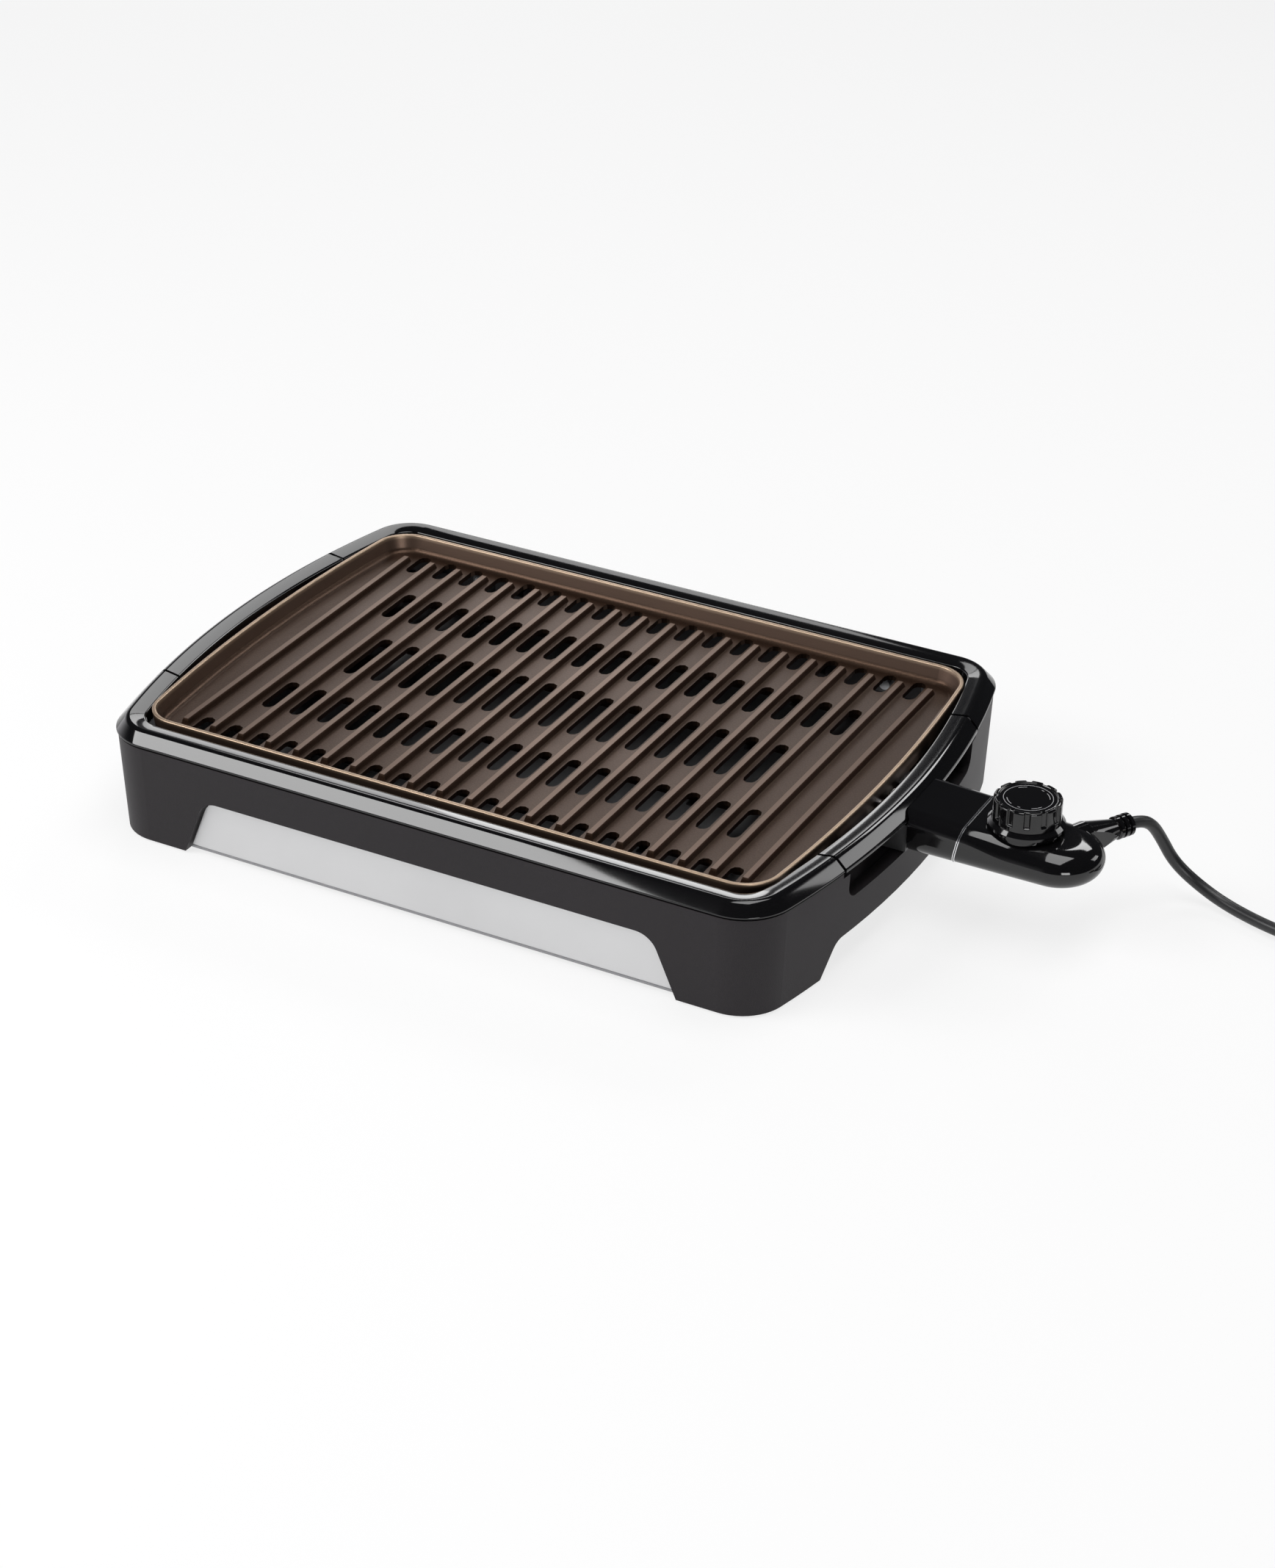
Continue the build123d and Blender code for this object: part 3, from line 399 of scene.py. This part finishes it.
# Rim and handles: one rounded section carried round the bowed outline
rimSpec = {
    "ridgeX": 225.0, "ridgeY": 155.2, "bow": 21.7, "corner": 25.0, "endY": 90.0, "gripY": 88.0,
    "sideRows": 26, "cornerRows": 22, "gripRows": 60,
    "innerWall": (-11.0, -8.6),  # offsets of both faces of the wall beside the plate
    "crown": [(-10.8, 69.9), (0.0, 71.6), (6.5, 64.8)],
    "crownReach": [0.2, 1.2, 1.9, 0.9],
    "rimFoot": [(6.5, 63.9), (4.2, 63.9), (4.2, 62.4), (2.0, 62.4)],
    "rimReach": [0.3, 0.2, 0.2, 0.2], "rimLow": 62.4,
    "gripFoot": [(6.5, 62.8), (5.4, 61.8), (3.4, 61.8), (2.4, 63.0)],
    "gripReach": [0.6, 0.5, 0.5, 0.3], "gripLow": 61.8,
    "vault": [(2.0, 66.5), (-0.6, 69.2), (-8.6, 67.9)], "vaultReach": [0.5, 0.5, 0.5, 0.2],
}


def bowRadius(spec):
    # arc through the side's middle and both ends: half chord squared plus bow squared, over twice the bow
    return (spec["ridgeY"] ** 2 + spec["bow"] ** 2) / (2 * spec["bow"])


def ringPoints(section, middleX, middleY, radius, angle):
    # the section's offsets turned about a middle, its heights kept
    x, y = middleX + radius * np.cos(angle), middleY + radius * np.sin(angle)
    return np.stack([x, y, np.broadcast_to(section[:, 1], x.shape)], -1)


def sideArc(spec, section, first, last, count):
    # points on the bowed side: a circle of radius R plus the section's offset, between two y values
    big = bowRadius(spec)
    radius = big + section[:, 0]
    a0, a1 = np.arcsin(first / radius), np.arcsin(last / radius)
    angle = a0 + (a1 - a0) * np.linspace(0, 1, count)[:, None]
    return ringPoints(section, spec["ridgeX"] - big, 0.0, radius, angle)


def rimGrid(spec, section):
    # right half of the rear rim, from the seam along the side arc and round the corner; then its mirror
    big = bowRadius(spec)
    cornerY = spec["ridgeY"] - spec["corner"]
    cornerLean = np.arcsin(cornerY / (big - spec["corner"]))
    cornerX = spec["ridgeX"] - big + (big - spec["corner"]) * np.cos(cornerLean)
    sideEnd = (big + section[:, 0]) * np.sin(cornerLean)
    side = sideArc(spec, section, spec["endY"], sideEnd, spec["sideRows"])
    angle = np.linspace(cornerLean, np.pi / 2, spec["cornerRows"])[1:, None]
    bend = ringPoints(section, cornerX, cornerY, spec["corner"] + section[:, 0], angle)
    half = np.concatenate([side, bend])
    return np.concatenate([half, half[::-1] * flipX])


def closedSection(spec, kind):
    # up the inner wall, over the crown, round the outer foot and back under the vault, corners softened
    (wallOut, wallIn), low = spec["innerWall"], spec[kind + "Low"]
    points = [(wallOut, low)] + spec["crown"] + spec[kind + "Foot"] + spec["vault"] + [(wallIn, low)]
    return softCorners(points, spec["crownReach"] + spec[kind + "Reach"] + spec["vaultReach"])


rear = rimGrid(rimSpec, closedSection(rimSpec, "rim"))
gripSection, gripY = closedSection(rimSpec, "grip"), rimSpec["gripY"]
grip = sideArc(rimSpec, gripSection, -gripY, gripY, rimSpec["gripRows"])
glossPieces = [
    ("rimRear", "rim_rear", "base", rear),
    ("rimFront", "rim_front", "base", rear * flipY),
    ("handleRight", "handle_right", "hotplate", grip),
    ("handleLeft", "handle_left", "hotplate", grip * flipX),
]
for label, node, body, grid in glossPieces:
    piece = addMesh(label, place(grid), gridFaces(*grid.shape[:2], caps=True))
    dress(piece, body, "gloss_black", node)
print("rim and handles carried round the outline")


# Shelf that closes the base under each finger notch, a little below the notch's border
shelfSpec = {
    "offset": (-2.3, -22.0), "z": (40.0, 42.0), "soft": 0.3, "softSteps": 3, "halfLong": 82.0, "rows": 40,
}
(outer, inner), (low, high) = shelfSpec["offset"], shelfSpec["z"]
halfLong = shelfSpec["halfLong"]
shelfCorners = [(outer, high), (outer, low), (inner, low), (inner, high)]
shelfReach = [shelfSpec["soft"]] * len(shelfCorners)
shelfSection = softCorners(shelfCorners, shelfReach, shelfSpec["softSteps"])
shelf = sideArc(rimSpec, shelfSection, -halfLong, halfLong, shelfSpec["rows"])
for label, grid in (("notchShelfRight", shelf), ("notchShelfLeft", shelf * flipX)):
    piece = addMesh(label, place(grid), gridFaces(*grid.shape[:2], caps=True))
    dress(piece, "base", "charcoal_base")
print("shelves under the finger notches")


# Control cover: the bar's section turns from a tight shoulder at the ring to a full round at the far end
coverSpec = {
    "end": 337.0, "half": 25.8, "split": 48.5, "keelTop": 53.0, "keel": 10.0,
    "topStart": (225.0, 68.8), "topEnd": (337.0, 63.0), "ringFoot": (259.5, 43.0), "lean": 0.2,
    "shoulder": 9.0, "roundWide": 14.0,
    "turnsRound": (260.0, 292.0), "rows": (5, 14, 7), "cols": (30, 49), "settle": 4,
    "seat": (291.5, 3.6, 19.0, 58.0, 67.3),  # middle, bore, radius, lowest and highest
    "seatAround": 72, "well": (9.5, 5.0, 7.5),  # outer and inner radius, depth
}


def coverGrid(spec):
    # plan path round the bar; each row draws it in by an inset and lifts it: keel, elliptic shoulder, top
    (x0, z0), (x1, z1) = spec["topStart"], spec["topEnd"]
    endMiddle = spec["end"] - spec["half"]
    straight, bend = spec["cols"]
    run = np.linspace(0, 1, straight)[:-1]
    along = np.concatenate([run, np.ones(bend), run[::-1]])
    turned = np.concatenate([0 * run, np.linspace(0, np.pi, bend), 0 * run + np.pi])
    footX, footZ = spec["ringFoot"]
    baseX = footX + along * (endMiddle - footX) + spec["half"] * np.sin(turned)
    first, last = spec["turnsRound"]
    share = ease((baseX - first) / (last - first))
    topBase = z0 + (z1 - z0) * (baseX - x0) / (x1 - x0)
    wide = spec["shoulder"] + (spec["roundWide"] - spec["shoulder"]) * share
    deep = spec["shoulder"] + (topBase - spec["keelTop"] - spec["shoulder"]) * share
    keelZ = np.linspace(spec["split"], spec["keelTop"], spec["rows"][0] + 1)[:-1, None]
    theta = np.linspace(0, np.pi / 2, spec["rows"][1])[:, None]
    flat = np.linspace(0, 1, spec["rows"][2])[1:, None]
    keelIn = spec["keel"] - np.sqrt(spec["keel"] ** 2 - (spec["keelTop"] - keelZ) ** 2)
    inset = np.concatenate([
        keelIn + 0 * wide, wide * (1 - np.cos(theta)), wide + (spec["half"] - wide) * flat])
    drop = np.concatenate([deep * (1 - np.sin(theta)), 0 * wide * flat])
    z = np.full(inset.shape, spec["keelTop"])
    for _ in range(spec["settle"]):  # the leaning start and the sloping top settle together
        start = footX + spec["lean"] * (z - footZ)
        x = start + along * (endMiddle - start) + (spec["half"] - inset) * np.sin(turned)
        top = z0 + (z1 - z0) * (x - x0) / (x1 - x0)
        z = np.concatenate([keelZ + 0 * wide, top[len(keelZ):] - drop])
    y = (spec["half"] - inset) * np.cos(turned)
    outer, inner, sink = spec["well"]  # hollow for the spindle, hidden by the seat
    share = ease((outer - np.hypot(x - spec["seat"][0], y)) / (outer - inner))
    return np.stack([x, y, z - sink * share], -1)


def seatGrid(spec):
    # seat under the knob, with the spindle's bore: a rectangle turned about the knob's axis
    middle, bore, radius, low, high = spec["seat"]
    line = np.array([[bore, low], [radius, low], [radius, high], [bore, high]])
    angle = np.linspace(0, 2 * np.pi, spec["seatAround"], endpoint=False)
    x, y = middle + line[:, :1] * np.cos(angle), line[:, :1] * np.sin(angle)
    return np.stack([x, y, np.broadcast_to(line[:, 1:], x.shape)], -1)


cover, seat = coverGrid(coverSpec), seatGrid(coverSpec)
rowCount, colCount = cover.shape[:2]
rowStart = np.arange(rowCount) * colCount
coverFaces = gridFaces(rowCount, colCount, wrapCols=False)
coverFaces.append(list(range(colCount)))  # underside, then the face against the ring
coverFaces.append(rowStart.tolist() + (rowStart[:-1][::-1] + colCount - 1).tolist())
coverFaces += gridFaces(*seat.shape[:2], wrapRows=True, start=rowCount * colCount)
coverVerts = np.concatenate([place(cover).reshape(-1, 3), place(seat).reshape(-1, 3)])
dress(addMesh("controlCover", coverVerts, coverFaces), "control", "gloss_black", "control_cover")
print("control cover rounded over", rowCount, "rows")


# Knob: fluted cap with rounded edges, a dished top and a printed ring
knobSpec = {
    "middle": (291.5, 0.0), "radius": 19.0, "low": 71.2, "top": 84.0, "edge": 1.3, "pole": 0.02,
    "dishRadius": 16.2, "dishDeep": 0.6, "dishStep": 0.35, "dishFlat": 0.6,
    "flutes": 12, "fluteWide": 3.2, "fluteDeep": 1.3, "fluteEdge": 0.8, "turn": -9.0,
    "fluteLow": 74.2, "fluteRise": 1.2, "fluteBelow": 1.0, "fluteBand": (-0.8, 1.4),
    "around": 480, "wallRows": (4, 9), "roundRows": 7, "dishRows": 8, "edgeSmooth": 55.0,
    "ringRadius": 13.6, "ringWide": 0.34, "ringRows": 144,
    "printHigh": 0.04, "printSunk": 0.02, "printSmooth": 30.0,
    "ticks": [(20.0, 52.0), (66.0, 74.0), (116.0, 140.0), (206.0, 240.0), (262.0, 270.0), (300.0, 330.0)],
    "tickRadius": (11.5, 11.9), "tickRows": 12,
}


def capProfile(spec):
    # wall up to the edge, quarter round onto the top, top, soft step into the dish, dish to near the middle
    radius, top, edge, fluteLow = (spec[k] for k in ("radius", "top", "edge", "fluteLow"))
    dishRadius, dishDeep = spec["dishRadius"], spec["dishDeep"]
    quarter, half = np.linspace(0, np.pi / 2, spec["roundRows"]), np.linspace(0, np.pi, spec["roundRows"])
    (belowRows, besideRows), (bandLow, bandHigh) = spec["wallRows"], spec["fluteBand"]
    below = np.linspace(spec["low"], fluteLow - spec["fluteBelow"], belowRows)
    beside = np.linspace(fluteLow + bandLow, fluteLow + bandHigh, besideRows)  # where the flutes begin
    wallZ = np.concatenate([below, beside])
    wall = np.stack([np.full(len(wallZ), radius), wallZ], -1)
    rounded = np.stack([radius - edge * (1 - np.cos(quarter)), top - edge * (1 - np.sin(quarter))], -1)
    stepR = dishRadius + spec["dishStep"] * (1 - 2 * half / np.pi)
    drop = np.stack([stepR, top - dishDeep * (0.5 - 0.5 * np.cos(half))], -1)
    dishR = np.linspace(dishRadius - spec["dishFlat"], spec["pole"], spec["dishRows"])
    dish = np.stack([dishR, np.full(len(dishR), top - dishDeep)], -1)
    foot = np.array([[spec["pole"], spec["low"]]])
    return np.concatenate([foot, wall, rounded, drop, dish])


def knobCap(spec):
    # the profile turned about the axis; flutes push the wall in by a flat-bottomed soft window of the angle
    line = capProfile(spec)
    angle = np.linspace(0, 2 * np.pi, spec["around"], endpoint=False)
    pitch = 2 * np.pi / spec["flutes"]
    across = (np.mod(angle - np.radians(spec["turn"]) + pitch / 2, pitch) - pitch / 2) * spec["radius"]
    window = ease(((spec["fluteWide"] + spec["fluteEdge"]) / 2 - np.abs(across)) / spec["fluteEdge"])
    rise = np.clip((line[:, 1] - spec["fluteLow"]) / spec["fluteRise"], 0, 1)
    rimStart, rimEnd = spec["dishRadius"] + spec["dishStep"], spec["radius"] - spec["edge"]
    reach = np.clip((line[:, 0] - rimStart) / (rimEnd - rimStart), 0, 1)
    share = np.sqrt(rise * (2 - rise)) * reach
    radius = line[:, :1] - spec["fluteDeep"] * share[:, None] * window[None, :]
    x = spec["middle"][0] + radius * np.cos(angle)
    y = spec["middle"][1] + radius * np.sin(angle)
    return np.stack([x, y, np.broadcast_to(line[:, 1:], radius.shape)], -1)


def printedArc(spec, inner, outer, first, last, count):
    # flat strip between two radii and two angles, with a low wall down to the dish
    angle = np.radians(np.linspace(first, last, count))[:, None]
    floorZ = spec["top"] - spec["dishDeep"]
    radius = np.array([[inner, inner, outer, outer]])
    low, high = floorZ - spec["printSunk"], floorZ + spec["printHigh"]
    z = np.array([[low, high, high, low]])
    x = spec["middle"][0] + radius * np.cos(angle)
    y = spec["middle"][1] + radius * np.sin(angle)
    return np.stack([x, y, np.broadcast_to(z, x.shape)], -1)


grid = knobCap(knobSpec)
cap = addMesh("knobCap", place(grid), gridFaces(*grid.shape[:2], caps=True), knobSpec["edgeSmooth"])
dress(cap, "knob", "gloss_black", "knob_cap")
ringEdges = knobSpec["ringRadius"] + knobSpec["ringWide"] * np.array([-0.5, 0.5])
ringLast = 360.0 - 360.0 / knobSpec["ringRows"]  # one step short, where the ring closes on itself
ringArc = printedArc(knobSpec, *ringEdges, 0.0, ringLast, knobSpec["ringRows"])
verts, faces = [place(ringArc).reshape(-1, 3)], gridFaces(*ringArc.shape[:2], wrapRows=True)
for first, last in knobSpec["ticks"]:
    arc = printedArc(knobSpec, *knobSpec["tickRadius"], first, last, knobSpec["tickRows"])
    faces += gridFaces(*arc.shape[:2], caps=True, start=sum(map(len, verts)))
    verts.append(place(arc).reshape(-1, 3))
dial = addMesh("dialPrint", np.concatenate(verts), faces, knobSpec["printSmooth"])
dress(dial, "knob", "bright_trim", finishAs="dial_print")
print("knob of", knobSpec["flutes"], "flutes with a printed ring")


# Studio: pale floor that stays bright where it is seen, dim sky with one glow, soft boxes
studioSpec = {"floorHalf": 60.0, "floorZ": -0.0004, "floorTone": 0.9, "floorLift": 0.78}
floorWay = np.array([(-1, -1), (1, -1), (1, 1), (-1, 1)]) * studioSpec["floorHalf"]
floorMesh = bpy.data.meshes.new("floor")
floorMesh.from_pydata([(*way, studioSpec["floorZ"]) for way in floorWay.tolist()], [], [(0, 1, 2, 3)])
floor = bpy.data.objects.new("floor", floorMesh)
bpy.context.scene.collection.objects.link(floor)
floorMat = bpy.data.materials.new("paleFloor")
floorMat.use_nodes = True
n, link = floorMat.node_tree.nodes, floorMat.node_tree.links
n.remove(n["Principled BSDF"])
kinds = ("BsdfDiffuse", "Emission", "MixShader", "LightPath", "Math", "Math", "Math")
matt, glow, mix, path, seenToo, seen, share = (n.new("ShaderNode" + kind) for kind in kinds)
matt.inputs["Color"].default_value = (*[studioSpec["floorTone"]] * 3, 1)
seenToo.operation = seen.operation = "MAXIMUM"
share.operation = "MULTIPLY"
share.inputs[1].default_value = studioSpec["floorLift"]
link.new(path.outputs["Is Camera Ray"], seenToo.inputs[0])
link.new(path.outputs["Is Transmission Ray"], seenToo.inputs[1])
link.new(seenToo.outputs[0], seen.inputs[0])
link.new(path.outputs["Is Glossy Ray"], seen.inputs[1])
link.new(seen.outputs[0], share.inputs[0])
link.new(share.outputs[0], mix.inputs["Fac"])
link.new(matt.outputs[0], mix.inputs[1])
link.new(glow.outputs[0], mix.inputs[2])
link.new(mix.outputs[0], n["Material Output"].inputs["Surface"])
floorMesh.materials.append(floorMat)

skySpec = {  # dim all round, with a glow low on the left
    "dim": (0.035, 0.037, 0.041), "glow": (1.7, 1.68, 1.74), "edge": (-0.05, -0.95), "rise": (0.0, 0.45),
}
skyMasks = (("X", skySpec["edge"], (0.0, 1.0)), ("Z", skySpec["rise"], (1.0, 0.0)))
world = bpy.data.worlds.new("studioSky")
world.use_nodes = True
bpy.context.scene.world = world
n, link = world.node_tree.nodes, world.node_tree.links
where, split = n.new("ShaderNodeTexCoord"), n.new("ShaderNodeSeparateXYZ")
link.new(where.outputs["Generated"], split.inputs["Vector"])
masks = []
for axis, (near, far), ends in skyMasks:
    spread = n.new("ShaderNodeMapRange")
    spread.interpolation_type = "SMOOTHSTEP"
    spread.inputs["From Min"].default_value, spread.inputs["From Max"].default_value = near, far
    spread.inputs["To Min"].default_value, spread.inputs["To Max"].default_value = ends
    link.new(split.outputs[axis], spread.inputs["Value"])
    masks.append(spread.outputs["Result"])
both = n.new("ShaderNodeMath")
both.operation = "MULTIPLY"
link.new(masks[0], both.inputs[0])
link.new(masks[1], both.inputs[1])
sky = n.new("ShaderNodeMix")
sky.data_type = "RGBA"
sky.inputs["A"].default_value = (*skySpec["dim"], 1)
sky.inputs["B"].default_value = (*skySpec["glow"], 1)
link.new(both.outputs[0], sky.inputs["Factor"])
link.new(sky.outputs["Result"], n["Background"].inputs["Color"])

lamps = {  # middle of each soft box, the way it faces, its width and height, its brightness
    "boxFrontLeft": {"at": (-1.46, -1.30, 1.50), "faces": (0, 0, -1), "size": (1.50, 1.20), "glow": 8.5},
    "boxAbove": {"at": (0.36, -0.10, 2.00), "faces": (0, 0, -1), "size": (1.02, 1.60), "glow": 4.2},
    "stripBackLeft": {"at": (-1.62, 2.20, 0.75), "faces": (0, -1, 0), "size": (0.64, 0.40), "glow": 2.2},
    "stripBackRight": {"at": (-1.02, 2.20, 0.75), "faces": (0, -1, 0), "size": (0.56, 0.40), "glow": 4.2},
    "boxBackLeft": {"at": (-1.40, 2.20, 1.38), "faces": (0, -1, 0), "size": (0.80, 0.36), "glow": 3.6},
    "boxBackHigh": {"at": (-1.40, 2.20, 1.92), "faces": (0, -1, 0), "size": (0.80, 0.64), "glow": 2.8},
    "boxBack": {"at": (0.30, 2.20, 1.78), "faces": (0, -1, 0), "size": (1.10, 0.62), "glow": 7.0},
    "boxRight": {"at": (2.00, 2.00, 1.27), "faces": (-1, 0, 0), "size": (1.20, 0.65), "glow": 3.4},
    "boxFrontRight": {
        "at": (1.50, -1.45, 0.42), "faces": (-0.72, 0.69, 0), "size": (0.66, 0.44), "glow": 8.0,
    },
}
for name, lamp in lamps.items():
    light = bpy.data.lights.new(name, "AREA")
    light.shape = "RECTANGLE"
    light.size, light.size_y = lamp["size"]
    light.energy = lamp["glow"] * np.pi * light.size * light.size_y
    obj = bpy.data.objects.new(name, light)
    back = -np.array(lamp["faces"], float) / np.linalg.norm(lamp["faces"])
    upright = [0, 1.0, 0] if abs(back[2]) > 0.9 else [0, 0, 1.0]  # along y where a box faces down
    side = np.cross(upright, back)
    side /= np.linalg.norm(side)
    facing = Matrix(np.column_stack([side, np.cross(back, side), back]).tolist()).to_4x4()
    obj.matrix_world = Matrix.Translation(lamp["at"]) @ facing
    bpy.context.scene.collection.objects.link(obj)
print("studio lit by", len(lamps), "soft boxes")
